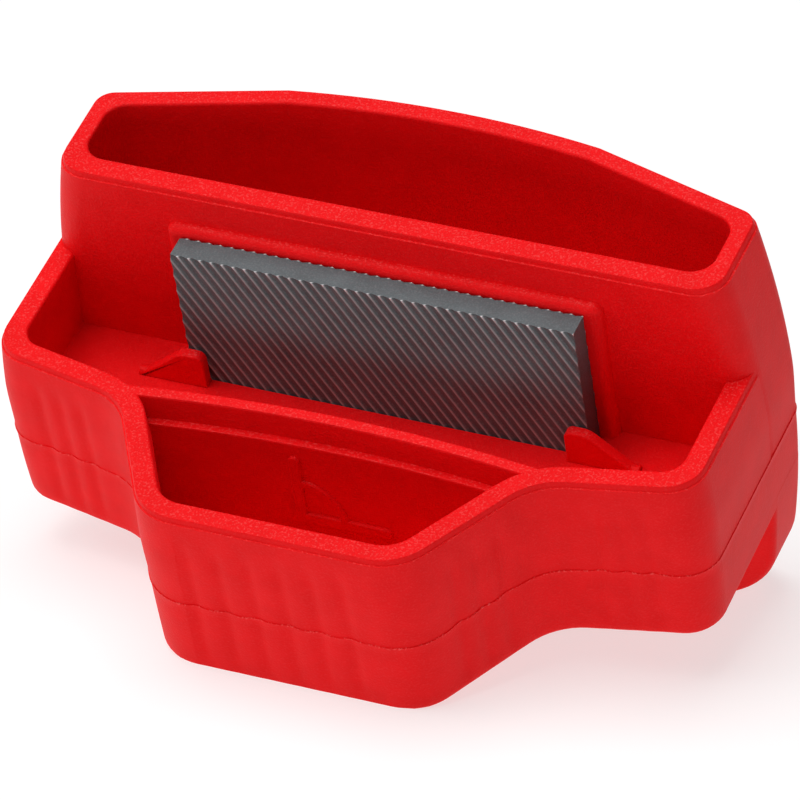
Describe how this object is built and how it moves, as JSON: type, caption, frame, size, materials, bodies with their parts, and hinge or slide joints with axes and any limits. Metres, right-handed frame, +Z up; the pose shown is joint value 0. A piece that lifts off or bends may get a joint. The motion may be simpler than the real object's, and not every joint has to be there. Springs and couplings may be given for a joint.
{
  "type": "ski edge tuning tool",
  "caption": "Palm-sized moulded guide that holds a short file at a fixed angle to sharpen a ski's side edge, with three open pockets.",
  "frame": {"origin": "floor level under the middle of the bounding box, the tool standing on its front lower edge and the foot's front lower edge", "axes": "+X along the file and the longest side, +Y towards the tall rear pocket, +Z up; the file leans forward by 20.1 degrees from +Z"},
  "size_m": [0.0986, 0.0722, 0.0615],
  "materials": {
    "red_plastic": "fine spark-eroded grain, matte",
    "file_steel": "hardened steel, single-cut teeth with bright tips"
  },
  "bodies": {
    "body": {"upper_shell": "red_plastic", "lower_shell": "red_plastic"},
    "file": {"file": "file_steel"},
    "left_fin": {"left_clip_fin": "red_plastic"},
    "right_fin": {"right_clip_fin": "red_plastic"}
  },
  "joints": [
    {"name": "file_lift", "type": "slide", "parent": "body", "child": "file", "axis": [0, -0.3432, 0.9393], "range_m": [0, 0.05]},
    {"name": "left_fin_flex", "type": "hinge", "parent": "body", "child": "left_fin", "pos_m": [-0.0302, 0.00112, 0.02502], "axis": [1, 0, 0], "range_deg": [0, 6], "stiffness_Nm_per_rad": 0.05},
    {"name": "right_fin_flex", "type": "hinge", "parent": "body", "child": "right_fin", "pos_m": [0.0302, 0.00112, 0.02502], "axis": [1, 0, 0], "range_deg": [0, 6], "stiffness_Nm_per_rad": 0.05}
  ]
}
